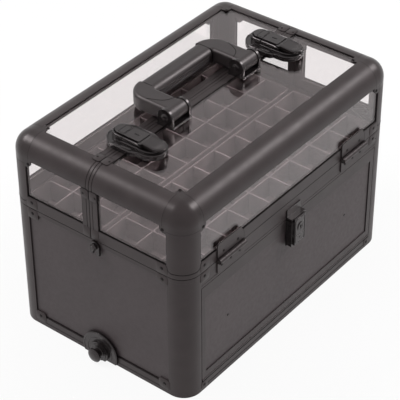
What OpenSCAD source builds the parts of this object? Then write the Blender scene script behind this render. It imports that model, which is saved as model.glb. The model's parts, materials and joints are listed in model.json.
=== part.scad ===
// Makeup train case: two clear lid halves over a body with a drop-front door, trays on
// parallel arms, a folding handle and two locking latches.
// Frame: X along the case, Y from front (-) to back (+), Z up, origin at the centre of the base.

/* [Case] */
// Length of the case over its frame
case_l = 370; // [340:1:420]
// Depth of the case over its frame
case_w = 240; // [220:1:280]
// Height of the case to the lid's top face
case_h = 250; // [230:1:290]
// Height of the body's rim
body_h = 162.5; // [150:0.5:180]
// Distance of the lid split behind the middle
split_y = 6; // [-10:0.5:15]
// Gap between the lid halves, and between lid and body
part_gap = 0.8; // [0.5:0.1:1.5]

/* [Frame] */
// Outer radius of rails, posts and corners
edge_r = 22; // [16:0.5:23]
// Visible width of rails and posts on each face
frame_w = 25; // [24:0.5:32]
// Wall of the rounded skin
skin_t = 2.2; // [1.6:0.1:3]
// Depth of the flanges that hold the panels
flange_t = 7; // [6.8:0.1:7.4]
// Distance from a corner to the seam of its casting
corner_len = 30; // [28:0.5:40]
// Outer lip in front of every panel
lip_t = 1.5; // [1:0.1:2]
// How far a panel reaches under its frame
panel_bite = 7.6; // [5:0.1:8]
// Clearance round each panel in its slot
panel_fit = 0.1; // [0.05:0.05:0.2]
// Radius of a corner casting's ear on each face
ear_r = 7; // [5:0.5:9]

/* [Lid] */
// Thickness of the clear panels
clear_t = 3; // [2:0.1:3.2]
// Height of the closing ring round the lid
lid_ring_h = 5.7; // [4:0.1:8]
// Height of the window channel above that ring
channel_h = 7.8; // [6:0.1:12]
// Width of a closing frame at the split
closing_w = 10.1; // [9:0.1:13]
// Width of a closing frame round its corner
closing_neck_w = 4.6; // [3:0.1:6]
// How far a panel reaches into the closing frame
closing_bite = 5; // [4:0.5:6]

/* [Body] */
// Thickness of the body's panels
panel_t = 4; // [3:0.1:4.2]
// Height of the body's top ring
body_ring_h = 5.1; // [4:0.1:8]
// Height of the ring under the posts
base_ring_h = 5; // [4:0.1:8]
// Height of the base rails' top edge
base_rail_h = 13.4; // [12:0.1:18]
// Inner corner radius of the rings
ring_inner_r = 5; // [4:0.5:8]
// how far each corner casting of the body's top ring runs from the outer faces
ring_corner_l = 17; // [16:0.5:18]
// seam between a corner casting and the rails beside it
ring_seam = 0.1; // [0.1:0.05:0.3]
// Height of the retaining flange behind the panels
keep_h = 8; // [5:0.5:12]
// Thickness of the bottom panel
bottom_t = 4; // [3:0.5:6]

/* [Door] */
// Height of the body's fixed rim above the door
belt_h = 20; // [14:0.5:27]
// Gap round the door
door_gap = 0.8; // [0.5:0.1:1.2]
// Thickness of the door
door_t = 8; // [7:0.1:8.2]
// Width of the door's side profiles
door_side_w = 6.5; // [5.5:0.5:10]
// Height of the door's bottom profile
door_bottom_w = 7; // [6:0.5:10]
// Height of the door's top profile
door_top_w = 15.7; // [12:0.1:20]
// Thickness of the door's panel
door_panel_t = 3; // [2:0.5:4]
// Radius of the door hinge's knuckles
door_knuckle_r = 2; // [1.8:0.1:2.2]
// Number of knuckles along the door hinge
door_knuckles = 15; // [9:2:21]

/* [Lid hinges] */
// Length of one hinge
hinge_l = 44.8; // [36:0.1:54]
// Distance of a hinge's middle from the case's middle
hinge_x = 112; // [90:1:120]
// Radius of the hinge knuckles
knuckle_r = 3; // [2.6:0.1:3.4]
// Radius of the hinge pins
hinge_pin_r = 1.5; // [1.2:0.1:1.8]
// Radial clearance of every pin in its bore
pin_fit = 0.06; // [0.03:0.01:0.1]
// Thickness of the hinge leaves
leaf_t = 1.4; // [1:0.1:1.8]
// Height of the upper leaf above the pin
upper_leaf_h = 21.5; // [16:0.5:26]
// Height of the lower leaf below the pin
lower_leaf_h = 15.5; // [12:0.5:17]

/* [Trays] */
// Height of a tray's walls
tray_h = 28; // [24:0.5:29]
// Thickness of a tray's walls and floor
tray_t = 2; // [1.5:0.1:3]
// Gap between a tray and the case's end face
tray_end_gap = 12.5; // [12.3:0.1:14]
// Gap between a tray and the case's long face
tray_side_gap = 8.5; // [8:0.1:10]
// Gap between a tray and the lid split
tray_split_gap = 2.1; // [2:0.1:4]
// Distance of the trays' rims below the body's rim
tray_drop = 0.5; // [0.3:0.1:2]
// Cells along a tray
tray_cols = 9; // [6:1:10]
// Rows of cells across a tray
tray_rows = 3; // [2:1:4]
// Thickness of a divider
divider_t = 1.6; // [1.2:0.1:2.4]
// Radius of a tray's corners beside the long face
tray_r = 12; // [6:1:14]
// Radius of a tray's corners beside the split
tray_inner_r = 4; // [3:0.5:5]

/* [Tray arms] */
// Distance between an arm's pivots
arm_l = 75; // [70:1:77]
// Angle of the arms below level when the case is shut
arm_drop = 13; // [12:0.5:14]
// Distance of the outer arm's pivot from the long face
arm_pivot_w = 16; // [15.5:0.5:18]
// Height of the arms' pivots below the rim
arm_pivot_drop = 6.5; // [6.2:0.1:7]
// Distance between the two arms of a pair
arm_pitch = 17; // [15:0.5:18]
// Half the width of an arm
arm_r = 4.6; // [4:0.1:4.8]
// Thickness of an arm
arm_t = 1.5; // [1.2:0.1:1.6]
// Radius of the arms' pivot studs
arm_pin_r = 2; // [1.6:0.1:2.2]
// Place of the link's pins from their pivots, towards the split
link_reach = 30; // [28:1:32]
// Height of the link's pins above their pivots
link_rise = 9; // [8.5:0.5:10]

/* [Handle] */
// Length of the handle over its arms
handle_l = 147; // [130:1:160]
// Thickness of the grip and width of the arms
grip_w = 24.5; // [20:0.5:28]
// Distance from the handle's pivot to the grip's far face
handle_reach = 59; // [52:1:66]
// Height of the handle's pivot above the lid
pivot_h = 12; // [11:0.5:14]
// Radius of the handle's round ends
handle_end_r = 9; // [8:0.5:10]
// Distance of the handle's pivot in front of the split
pivot_y_off = 13; // [12:0.5:15]
// Radius of the grip's rounded edges
grip_edge_r = 8; // [6:0.5:9]
// Radius of the handle arms' edges
arm_edge_r = 4; // [3:0.5:5]
// Thickness of a bracket's cheeks
cheek_t = 3; // [2.5:0.1:4]
// Radius of the handle's pins
handle_pin_r = 2.5; // [2:0.1:3]

/* [Top latches] */
// Distance of a latch's middle from the case's middle
latch_x = 119.5; // [110:0.5:125]
// Width of a latch's base
latch_w = 42; // [38:1:44]
// Width of the base's narrower nose under the tab
latch_nose_w = 34; // [30:1:36]
// Length of a latch's base in front of the split
latch_front_l = 47; // [42:1:52]
// Length of a latch's keeper behind the split
latch_back_l = 24; // [21:1:28]
// Height of a latch's base
latch_base_h = 5; // [4:0.5:6]
// Height of a latch's cover above the lid
latch_top_h = 13.2; // [12:0.2:15]
// Width of a latch's cover
cover_w = 17; // [14:0.5:20]
// Length of the cover in front of the split
cover_l = 20.5; // [18:0.5:22]
// Width of the lifting tab
tab_w = 19; // [17:1:22]
// Slope of the tab's top face
tab_slope = 5; // [3:0.5:6]
// Radius of the lock barrel
lock_r = 5; // [4:0.5:6]
// Reach of the lock's cam from the barrel's middle
cam_reach = 15; // [13:0.5:16]
// Width of the lock's cam
cam_w = 8; // [6:0.5:9]

/* [Door latch] */
// Width of the door latch
door_latch_w = 25; // [20:1:30]
// Height of the latch's base plate
door_latch_h = 35; // [28:1:40]
// Depth of the latch's housing
door_latch_d = 8; // [6:0.5:9]

/* [Studs] */
// Radius of the end plates round the stacking knobs
knob_plate_r = 24.3; // [20:0.5:28]
// Radius of a stacking knob's head
knob_r = 8.5; // [7:0.5:10]
// Height of the stacking knobs
knob_z = 11; // [9.5:0.5:14]
// Reach of a stacking knob from the end face
knob_reach = 14; // [10:0.5:16]

/* [Hidden] */
$fn = 64;

half_l = case_l / 2;
half_w = case_w / 2;
lid_z = body_h + part_gap;
ring_top = lid_z + lid_ring_h;
channel_top = ring_top + channel_h;
post_top = body_h - body_ring_h;
belt_z = body_h - belt_h;
slot_z = ring_top + 1.5;
eps = 0.01;

frame_black = [0.16, 0.15, 0.15];
panel_black = [0.2, 0.19, 0.19];
hardware_black = [0.09, 0.09, 0.09];
clear_grey = [0.75, 0.75, 0.78, 0.35];
tray_grey = [0.13, 0.13, 0.13];
fabric_black = [0.1, 0.1, 0.1];

// ---------- helpers ----------

// Depth of a lid half from its long face to the split: side -1 is the front, 1 the back
function half_depth(side) = half_w - side * split_y - part_gap / 2;

// Children are drawn with w = distance from the long face along +Y, and mirrored for the back
module on_side(side) {
  if (side < 0) translate([0, -half_w, 0]) children();
  else mirror([0, 1, 0]) translate([0, -half_w, 0]) children();
}

module both_ends() {
  children();
  mirror([1, 0, 0]) children();
}

module box(low, high) {
  translate(low) cube(high - low);
}

module rounded_rect(low, high, r) {
  translate([low[0] + r, low[1]]) square([high[0] - low[0] - 2 * r, high[1] - low[1]]);
  translate([low[0], low[1] + r]) square([high[0] - low[0], high[1] - low[1] - 2 * r]);
  for (x = [low[0] + r, high[0] - r], y = [low[1] + r, high[1] - r]) translate([x, y]) circle(r);
}

// Plan of a ring round the case with rounded corners
module ring_plan(depth) {
  difference() {
    rounded_rect([-half_l, -half_w], [half_l, half_w], edge_r);
    rounded_rect([-half_l + depth, -half_w + depth], [half_l - depth, half_w - depth], ring_inner_r);
  }
}

// Section of a rail or post, with its outer corner at the origin
module frame_section() {
  intersection() {
    union() {
      difference() {
        square(edge_r);
        translate([edge_r, edge_r]) circle(edge_r - skin_t);
      }
      translate([edge_r - 6, 0]) square([frame_w - edge_r + 6, flange_t]);
      translate([0, edge_r - 6]) square([flange_t, frame_w - edge_r + 6]);
    }
    union() {
      translate([edge_r, edge_r]) circle(edge_r);
      translate([edge_r, 0]) square([frame_w, frame_w]);
      translate([0, edge_r]) square([frame_w, frame_w]);
    }
  }
}

// A section drawn in (y, z) and pushed along X
module along_x(x0, x1) {
  translate([x0, 0, 0]) rotate([90, 0, 90]) linear_extrude(x1 - x0) children();
}

// A section drawn in (x, z) and pushed along Y
module along_y(y0, y1) {
  translate([0, y1, 0]) rotate([90, 0, 0]) linear_extrude(y1 - y0) children();
}

module along_z(z0, z1) {
  translate([0, 0, z0]) linear_extrude(z1 - z0) children();
}

// Flat arm between the eyes at two points in (w, z): the bar is narrower than its eyes
module arm_bar(from, to, r) {
  translate(from) circle(r);
  arm_spur(from, to, r);
}

// The same with an eye only at its far point
module arm_spur(from, to, r) {
  run = to - from;
  half = r - eye_step;
  translate(to) circle(r);
  translate(from) rotate(atan2(run[1], run[0])) translate([0, -half]) square([norm(run), 2 * half]);
}

// ---------- lid halves ----------

// The four clear panels of a lid half, each grown by c to cut its slot
module clear_top(side, c = 0) {
  inset = frame_w - panel_bite;
  box([-half_l + inset - c, inset - c, case_h - lip_t - clear_t - c],
      [half_l - inset + c, half_depth(side) - closing_w + closing_bite + c, case_h - lip_t + c]);
}

module clear_long(side, c = 0) {
  inset = frame_w - panel_bite;
  box([-half_l + inset - c, lip_t - c, slot_z - c],
      [half_l - inset + c, lip_t + clear_t + c, case_h - inset + c]);
}

module clear_ends(side, c = 0) {
  inset = frame_w - panel_bite;
  both_ends()
    box([-half_l + lip_t - c, inset - c, slot_z - c],
        [-half_l + lip_t + clear_t + c, half_depth(side) - closing_w + closing_bite + c,
         case_h - inset + c]);
}

module clear_slots(side) {
  clear_top(side, panel_fit);
  clear_long(side, panel_fit);
  clear_ends(side, panel_fit);
}

module lid_rails(side) {
  on_side(side) difference() {
    union() {
      along_x(-half_l + corner_len, half_l - corner_len)
        translate([0, case_h]) mirror([0, 1]) frame_section();
      both_ends() along_y(corner_len, half_depth(side) - closing_neck_w)
        translate([-half_l, case_h]) mirror([0, 1]) frame_section();
    }
    clear_slots(side);
  }
}

module lid_posts(side) {
  on_side(side) difference() {
    both_ends() along_z(ring_top, case_h - corner_len) translate([-half_l, 0]) frame_section();
    clear_slots(side);
  }
}

// One corner casting: a ball corner with a short stub towards each rail and post
module corner_casting() {
  stub = corner_len - edge_r;
  translate([-half_l, 0, case_h]) mirror([0, 0, 1]) {
    // the ball, turned about the post's axis
    translate([edge_r, edge_r, edge_r]) mirror([0, 0, 1]) rotate([0, 0, 180])
      rotate_extrude(angle = 90) intersection() {
        difference() {
          circle(edge_r);
          circle(edge_r - skin_t);
        }
        square(edge_r);
      }
    along_x(edge_r, corner_len) frame_section();
    along_z(edge_r, corner_len) frame_section();
    translate([0, edge_r, 0]) mirror([0, 1, 0]) along_y(-stub, 0) frame_section();
    ear();
    rotate([0, -90, 0]) mirror([0, 0, 1]) ear();
    rotate([90, 0, 0]) mirror([0, 0, 1]) ear();
  }
}

// Rounded ear that reaches over the panels' corner on one face
module ear() {
  far = corner_len + 2 * ear_r;
  linear_extrude(lip_t - panel_fit) difference() {
    translate([frame_w + 1.5, frame_w + 1.5]) circle(ear_r);
    square([frame_w - 1, far]);
    square([far, frame_w - 1]);
    translate([0, corner_len]) square([frame_w + panel_fit, far]);
    translate([corner_len, 0]) square([far, frame_w + panel_fit]);
  }
}

module lid_corners(side) {
  on_side(side) difference() {
    both_ends() corner_casting();
    clear_slots(side);
  }
}

module lid_ring(side) {
  straight = half_l - frame_w;
  on_side(side) {
    difference() {
      union() {
        intersection() {
          along_z(lid_z, ring_top) translate([0, half_w]) ring_plan(flange_t);
          box([-half_l, 0, 0], [half_l, half_depth(side) - closing_w, case_h]);
        }
        box([-straight, 0, ring_top - eps], [straight, flange_t, channel_top]);
        both_ends() box([-half_l, frame_w, ring_top - eps],
                        [-half_l + flange_t, half_depth(side) - closing_w, channel_top]);
      }
      clear_slots(side);
    }
    // studs that drive the tray links
    both_ends() translate([-half_l + flange_t - eps, lid_link_w, lid_link_z])
      rotate([0, 90, 0]) cylinder(h = link_in_x - flange_t + arm_t, r = arm_pin_r);
  }
}

// Outline of a closing frame in (x, z)
module closing_outline() {
  difference() {
    closing_shape(0);
    closing_shape(flange_t);
  }
}

module closing_shape(inset) {
  r = edge_r - inset;
  translate([-half_l + inset, lid_z - eps * inset])
    square([case_l - 2 * inset, case_h - edge_r - lid_z + eps * inset]);
  translate([-half_l + edge_r, case_h - edge_r - eps]) square([case_l - 2 * edge_r, r + eps]);
  for (x = [-half_l + edge_r, half_l - edge_r]) translate([x, case_h - edge_r]) circle(r);
}

module closing_frame(side) {
  d = half_depth(side);
  on_side(side) difference() {
    union() {
      along_y(d - closing_neck_w, d) closing_outline();
      difference() {
        along_y(d - closing_w, d - closing_neck_w + eps) closing_outline();
        both_ends() box([-half_l - 1, 0, case_h - frame_w], [-half_l + frame_w, d, case_h + 1]);
      }
    }
    clear_slots(side);
    // shallow groove round the face between neck and split
    along_y(d - closing_neck_w + 0.6, d - closing_neck_w + 1.4) difference() {
      closing_shape(-1);
      closing_shape(0.5);
    }
  }
}

module lid_top_panel(side) {
  on_side(side) clear_top(side);
}

module lid_window(side) {
  on_side(side) clear_long(side);
}

module lid_end_windows(side) {
  on_side(side) clear_ends(side);
}

// ---------- lid hinges ----------

hinge_pin_w = -(knuckle_r + 0.1);
hinge_pin_z = body_h + part_gap / 2;
knuckle_count = 5;
knuckle_gap = 0.3;
knuckle_pitch = hinge_l / knuckle_count;

module hinge_barrel(first) {
  for (i = [first:2:knuckle_count - 1])
    translate([-hinge_l / 2 + i * knuckle_pitch + knuckle_gap / 2, hinge_pin_w, hinge_pin_z])
      rotate([0, 90, 0]) cylinder(h = knuckle_pitch - knuckle_gap, r = knuckle_r);
}

// Short web from each knuckle to its leaf: up for the lid's leaf, down for the body's
module knuckle_webs(first, up) {
  for (i = [first:2:knuckle_count - 1]) {
    x = -hinge_l / 2 + i * knuckle_pitch + knuckle_gap / 2;
    z = up > 0 ? hinge_pin_z + part_gap / 2 : hinge_pin_z - part_gap / 2 - knuckle_r - 1;
    translate([x, -leaf_t, z]) cube([knuckle_pitch - knuckle_gap, leaf_t, knuckle_r + 1]);
  }
}

module pin_bore(r) {
  translate([-hinge_l, hinge_pin_w, hinge_pin_z]) rotate([0, 90, 0]) cylinder(h = 2 * hinge_l, r = r);
}

module lid_hinge_leaf() {
  chamfer = 2.5;
  low = hinge_pin_z + knuckle_r + 0.5;
  high = hinge_pin_z + upper_leaf_h;
  difference() {
    union() {
      hinge_barrel(1);
      knuckle_webs(1, 1);
      along_y(-leaf_t, 0) polygon([
        [-hinge_l / 2, low], [hinge_l / 2, low],
        [hinge_l / 2, high - 4 * chamfer], [hinge_l / 2 - 2 * chamfer, high],
        [-hinge_l / 2 + chamfer / 2, high], [-hinge_l / 2, high - chamfer]]);
    }
    pin_bore(hinge_pin_r + pin_fit);
  }
}

module body_hinge_leaf() {
  difference() {
    union() {
      hinge_barrel(0);
      knuckle_webs(0, -1);
      box([-hinge_l / 2, -leaf_t, hinge_pin_z - lower_leaf_h],
          [hinge_l / 2, 0, hinge_pin_z - knuckle_r - 0.5]);
    }
    pin_bore(hinge_pin_r + pin_fit);
  }
}

module at_hinges(side) {
  on_side(side) for (x = [-hinge_x, hinge_x]) translate([x, 0, 0]) children();
}

module lid_hinge_leaves(side) {
  at_hinges(side) lid_hinge_leaf();
}

module body_hinge_leaves() {
  for (side = [-1, 1]) at_hinges(side) body_hinge_leaf();
}

module hinge_pins() {
  for (side = [-1, 1]) at_hinges(side)
    translate([-hinge_l / 2, hinge_pin_w, hinge_pin_z]) rotate([0, 90, 0]) cylinder(h = hinge_l, r = hinge_pin_r);
  translate([-door_half, door_pin_y, door_pin_z]) rotate([0, 90, 0])
    cylinder(h = 2 * door_half, r = door_pin_r);
}

// ---------- body ----------

module body_panel_back(c = 0) {
  inset = frame_w - panel_bite;
  on_side(1) box([-half_l + inset - c, lip_t - c, base_rail_h - 6 - c],
                 [half_l - inset + c, lip_t + panel_t + c, post_top - 0.1 + c]);
}

module body_panel_ends(c = 0) {
  inset = frame_w - panel_bite;
  both_ends() box([-half_l + lip_t - c, -half_w + inset - c, base_rail_h - 6 - c],
                  [-half_l + lip_t + panel_t + c, half_w - inset + c, post_top - 0.1 + c]);
}

module body_slots() {
  body_panel_back(panel_fit);
  body_panel_ends(panel_fit);
}

module body_posts() {
  difference() {
    for (side = [-1, 1]) on_side(side) both_ends()
      along_z(base_ring_h, post_top) translate([-half_l, 0]) frame_section();
    body_slots();
  }
}

// four rails between four corner castings, a fine seam between each
module body_top_ring() {
  keep_in = lip_t + panel_t + panel_fit;
  cut = ring_corner_l;
  difference() {
    union() {
      along_z(post_top, body_h) ring_plan(flange_t);
      // retaining flanges behind the panels, between the posts
      on_side(1) box([-half_l + frame_w, keep_in, post_top - keep_h],
                     [half_l - frame_w, flange_t, post_top + eps]);
      both_ends() box([-half_l + keep_in, -half_w + frame_w, post_top - keep_h],
                      [-half_l + flange_t, half_w - frame_w, post_top + eps]);
    }
    both_ends() box([-half_l + cut, -half_w - 1, post_top - 1],
                    [-half_l + cut + ring_seam, half_w + 1, body_h + 1]);
    for (side = [-1, 1]) on_side(side)
      box([-half_l - 1, cut, post_top - 1], [half_l + 1, cut + ring_seam, body_h + 1]);
  }
}

module base_ring() {
  along_z(0, base_ring_h) ring_plan(flange_t + 5);
}

module base_rails() {
  difference() {
    union() {
      on_side(1) box([-half_l + frame_w, 0, base_ring_h], [half_l - frame_w, flange_t, base_rail_h]);
      both_ends() box([-half_l, -half_w + frame_w, base_ring_h],
                      [-half_l + flange_t, half_w - frame_w, base_rail_h]);
    }
    body_slots();
  }
}

module bottom_panel() {
  edge = flange_t + 0.2;
  along_z(base_ring_h, base_ring_h + bottom_t)
    rounded_rect([-half_l + edge, -half_w + edge], [half_l - edge, half_w - edge], ring_inner_r);
}

module front_belt() {
  on_side(-1) difference() {
    box([-half_l + frame_w, 0, belt_z], [half_l - frame_w, flange_t, post_top]);
    box([-half_l, -1, belt_z + 3], [half_l, 0.5, belt_z + 3.8]);
  }
}

// ---------- door ----------

sill_top = 12.2;
knuckle_room = 0.4;
door_pin_z = sill_top + knuckle_room + door_knuckle_r;
door_half = half_l - frame_w - door_gap;
door_low = door_pin_z + door_knuckle_r + knuckle_room;
door_high = belt_z - door_gap;
door_pin_r = 0.9;
door_pin_y = -half_w + 1.4;
door_leaf_t = 0.9;
door_leaf_w = 9;

module front_sill() {
  straight = half_l - frame_w;
  ledge_z = base_ring_h + bottom_t + 0.1;
  on_side(-1) {
    box([-straight, 0, base_ring_h], [straight, flange_t, sill_top]);
    box([-straight, flange_t - eps, ledge_z], [straight, flange_t + 5, sill_top]);
  }
}

module door_knuckle_row(first) {
  pitch = 2 * door_half / door_knuckles;
  difference() {
    for (i = [first:2:door_knuckles - 1])
      translate([-door_half + i * pitch + knuckle_gap / 2, door_pin_y, door_pin_z])
        rotate([0, 90, 0]) cylinder(h = pitch - knuckle_gap, r = door_knuckle_r);
    door_pin_bore();
  }
}

module door_pin_bore() {
  translate([-half_l, door_pin_y, door_pin_z]) rotate([0, 90, 0])
    cylinder(h = case_l, r = door_pin_r + pin_fit);
}

// Leaf strips with fingers that reach the knuckles of their own row
module door_leaf(first, low, high) {
  pitch = 2 * door_half / door_knuckles;
  difference() {
    union() {
      box([-door_half, door_pin_y + door_knuckle_r + 0.4, low],
          [door_half, door_pin_y + door_leaf_w, high]);
      for (i = [first:2:door_knuckles - 1])
        box([-door_half + i * pitch + knuckle_gap / 2, door_pin_y, low],
            [-door_half + (i + 1) * pitch - knuckle_gap / 2, door_pin_y + door_leaf_w, high]);
    }
    door_pin_bore();
  }
  door_knuckle_row(first);
}

module door_hinge_sill_leaf() {
  door_leaf(0, sill_top, sill_top + door_leaf_t);
}

module door_hinge_leaf() {
  door_leaf(1, door_low - door_leaf_t, door_low);
}

module door_panel(c = 0) {
  bite = 3.5;
  on_side(-1) box([-door_half + door_side_w - bite - c, 1.2 - c, door_low + door_bottom_w - bite - c],
                  [door_half - door_side_w + bite + c, 1.2 + door_panel_t + c,
                   door_high - door_top_w + bite + c]);
}

module door_frame() {
  inner_low = door_low + door_bottom_w;
  inner_high = door_high - door_top_w;
  difference() {
    on_side(-1) {
      box([-door_half, 0, door_low], [door_half, door_t, inner_low]);
      box([-door_half, 0, inner_high], [door_half, door_t, door_high]);
      both_ends() box([-door_half, 0, inner_low], [-door_half + door_side_w, door_t, inner_high]);
    }
    door_panel(panel_fit);
  }
}

// Elastic band with loops for brushes, fixed at both ends inside the door
band_z = 76;
band_half = 110;
band_h = 26;
band_loops = 11;

module brush_band() {
  y0 = 1.2 + door_panel_t + 0.1;
  pitch = 2 * band_half / band_loops;
  on_side(-1) {
    box([-band_half - 6, y0, band_z - band_h / 2], [band_half + 6, y0 + 1.4, band_z + band_h / 2]);
    for (i = [0:band_loops - 1])
      along_z(band_z - band_h / 2, band_z + band_h / 2)
        translate([-band_half + (i + 0.5) * pitch, y0 + 1.3]) difference() {
          intersection() {
            scale([1, 0.9]) circle(pitch / 2 - 0.4);
            translate([-pitch / 2, 0]) square([pitch, pitch]);
          }
          scale([1, 0.9]) circle(pitch / 2 - 1.8);
        }
  }
}

// ---------- door latch ----------

latch_lever_pin_z = belt_z - door_gap - door_latch_h + 5.5;
latch_lever_pin_w = -5.2;
door_cheek_t = 2.4;

module door_latch_keeper() {
  w = door_latch_w / 2;
  on_side(-1) {
    box([-w, -1.5, belt_z + 0.1], [w, 0, belt_z + 12]);
    box([-w, -door_latch_d, belt_z + 0.1], [w, -1.4, belt_z + 2.6]);
  }
}

module door_latch_base() {
  w = door_latch_w / 2;
  high = door_high - 0.2;
  low = door_high - door_latch_h;
  on_side(-1) difference() {
    union() {
      box([-w, -1.5, low], [w, 0, high]);
      both_ends() box([-w, -door_latch_d, low + 1.5], [-w + door_cheek_t, -1.4, high]);
      box([-w, -door_latch_d, high - 2.2], [w, -1.4, high]);
    }
    translate([-w - 1, latch_lever_pin_w, latch_lever_pin_z]) rotate([0, 90, 0])
      cylinder(h = door_latch_w + 2, r = 1.2);
  }
}

module door_latch_lever() {
  w = door_latch_w / 2 - door_cheek_t - 0.4;
  face = -door_latch_d - 0.4;
  key_z = belt_z - 11;
  key_r = 1.5;
  key_l = 4.5;
  on_side(-1) {
    difference() {
      union() {
        translate([-w, latch_lever_pin_w, latch_lever_pin_z]) rotate([0, 90, 0]) cylinder(h = 2 * w, r = 2.6);
        box([-w, face, latch_lever_pin_z - 2.6], [w, latch_lever_pin_w, latch_lever_pin_z]);
        box([-w, face - 2, latch_lever_pin_z - 2.6], [w, face + eps, belt_z + 2]);
        along_y(face - 2.6, face - 2 + eps) translate([0, belt_z - 12]) circle(5);
      }
      along_y(face - 3.6, face - 1.6) {
        translate([0, key_z]) circle(key_r);
        translate([-key_r / 2.5, key_z - key_l]) square([key_r / 1.25, key_l]);
      }
    }
    translate([-w - door_cheek_t - 0.3, latch_lever_pin_w, latch_lever_pin_z]) rotate([0, 90, 0])
      cylinder(h = 2 * (w + door_cheek_t + 0.3), r = 1.2 - pin_fit);
  }
}

// ---------- trays and arms ----------

tray_half = half_l - tray_end_gap;
tray_top = body_h - tray_drop;
tray_low = tray_top - tray_h;
arm_pivot_z = body_h - arm_pivot_drop;
tray_pin_run = arm_l * cos(arm_drop);
tray_pin_fall = arm_l * sin(arm_drop);
outer_arm_x = tray_end_gap - 0.8 - arm_t;
inner_arm_x = outer_arm_x - 1 - arm_t;
link_in_x = inner_arm_x;
lobe_r = arm_r - 0.6;
eye_step = 0.8;
link_hinge_run = arm_pivot_w - hinge_pin_w;
link_hinge_fall = hinge_pin_z - arm_pivot_z;
lid_link_w = hinge_pin_w + link_reach;
lid_link_z = hinge_pin_z + link_rise;
open_pivot_fit = 0.4;

function tray_depth(side) = half_depth(side) - tray_split_gap - tray_side_gap;

// Plan of a tray, shrunk by the inset
module tray_plan(side, inset) {
  far = half_depth(side) - tray_split_gap - inset;
  edge = tray_half - inset;
  rounded_rect([-edge, tray_side_gap + inset], [edge, far], tray_r - inset);
  rounded_rect([-edge, far - 3 * tray_r], [edge, far], tray_inner_r - inset);
}

module tray(side) {
  on_side(side) {
    difference() {
      along_z(tray_low, tray_top) tray_plan(side, 0);
      along_z(tray_low + tray_t, tray_top + 1) tray_plan(side, tray_t);
    }
    // pivot studs for the two arms at each end
    both_ends() {
      tray_stud(arm_pivot_w + tray_pin_run, tray_end_gap - outer_arm_x + 0.3);
      tray_stud(arm_pivot_w + arm_pitch + tray_pin_run, tray_end_gap - inner_arm_x + 0.2);
    }
  }
}

module tray_stud(w, reach) {
  root = tray_t / 2;
  translate([-half_l + tray_end_gap + root, w, arm_pivot_z - tray_pin_fall]) rotate([0, -90, 0])
    cylinder(h = reach + root, r = arm_pin_r);
}

// Interlocking strips: long ones slotted from above, cross ones from below
module tray_dividers(side) {
  in_half = tray_half - tray_t - 0.2;
  w0 = tray_side_gap + tray_t + 0.2;
  w1 = half_depth(side) - tray_split_gap - tray_t - 0.2;
  z0 = tray_low + tray_t + 0.1;
  z1 = tray_top - 0.6;
  zm = (z0 + z1) / 2;
  col = 2 * in_half / tray_cols;
  row = (w1 - w0) / tray_rows;
  slot = divider_t / 2 + 0.15;
  on_side(side) {
    for (j = [1:tray_rows - 1]) difference() {
      box([-in_half, w0 + j * row - divider_t / 2, z0], [in_half, w0 + j * row + divider_t / 2, z1]);
      for (i = [1:tray_cols - 1])
        box([-in_half + i * col - slot, w0, zm - 0.15], [-in_half + i * col + slot, w1, z1 + 1]);
    }
    for (i = [1:tray_cols - 1]) difference() {
      box([-in_half + i * col - divider_t / 2, w0, z0], [-in_half + i * col + divider_t / 2, w1, z1]);
      for (j = [1:tray_rows - 1])
        box([-in_half, w0 + j * row - slot, z0 - 1], [in_half, w0 + j * row + slot, zm + 0.15]);
    }
  }
}

// An arm plate pushed from its inner plane outwards, in (w, z)
module arm_plate(plane) {
  both_ends() translate([-half_l + plane, 0, 0]) rotate([90, 0, 90]) linear_extrude(arm_t) children();
}

module outer_arms(side) {
  from = [arm_pivot_w, arm_pivot_z];
  to = from + [tray_pin_run, -tray_pin_fall];
  lobe = from + [link_reach, link_rise];
  on_side(side) {
    arm_plate(outer_arm_x) difference() {
      union() {
        arm_bar(from, to, arm_r);
        arm_spur(from, lobe, lobe_r);
      }
      translate(from) circle(arm_pin_r + pin_fit);
      translate(to) circle(arm_pin_r + pin_fit);
    }
    both_ends() translate([-half_l + outer_arm_x, lobe[0], lobe[1]]) rotate([0, -90, 0])
      cylinder(h = outer_arm_x - link_in_x, r = arm_pin_r);
  }
}

module inner_arms(side) {
  from = [arm_pivot_w + arm_pitch, arm_pivot_z];
  to = from + [tray_pin_run, -tray_pin_fall];
  on_side(side) arm_plate(inner_arm_x) difference() {
    arm_bar(from, to, arm_r);
    translate(from) circle(arm_pin_r + pin_fit);
    translate(to) circle(arm_pin_r + open_pivot_fit);
  }
}

module lid_links(side) {
  lid_end = [lid_link_w, lid_link_z];
  arm_end = [arm_pivot_w + link_reach, arm_pivot_z + link_rise];
  on_side(side) arm_plate(link_in_x) difference() {
    arm_bar(lid_end, arm_end, lobe_r);
    translate(arm_end) circle(arm_pin_r + pin_fit);
    translate(lid_end) circle(arm_pin_r + open_pivot_fit);
  }
}

// Bushes and studs on the end panels that carry the arms
module tray_arm_pivots() {
  for (side = [-1, 1]) on_side(side) both_ends() {
    arm_stud(arm_pivot_w, outer_arm_x);
    arm_stud(arm_pivot_w + arm_pitch, inner_arm_x);
  }
}

module arm_stud(w, plane) {
  translate([-half_l + flange_t, w, arm_pivot_z]) rotate([0, 90, 0]) {
    cylinder(h = plane - flange_t - 0.15, r = arm_pin_r + 1.6);
    cylinder(h = plane - flange_t + arm_t, r = arm_pin_r);
  }
}

// ---------- handle ----------

pivot_y = split_y - pivot_y_off;
pivot_z = case_h + pivot_h;
grip_top = pivot_z + handle_end_r;
grip_low = case_h + 1.6;
arm_in_x = handle_l / 2 - grip_w;
grip_y1 = pivot_y + handle_reach;
grip_y0 = grip_y1 - grip_w;
bracket_side = 0.4;
bracket_r = 10;
bracket_foot_t = 2.4;
bracket_foot_step = 1;

// Section of the grip or an arm with its inner side at x = 0
module grip_section(low, edge = arm_edge_r) {
  rounded_rect([0, low], [grip_w, grip_top], edge);
}

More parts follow.
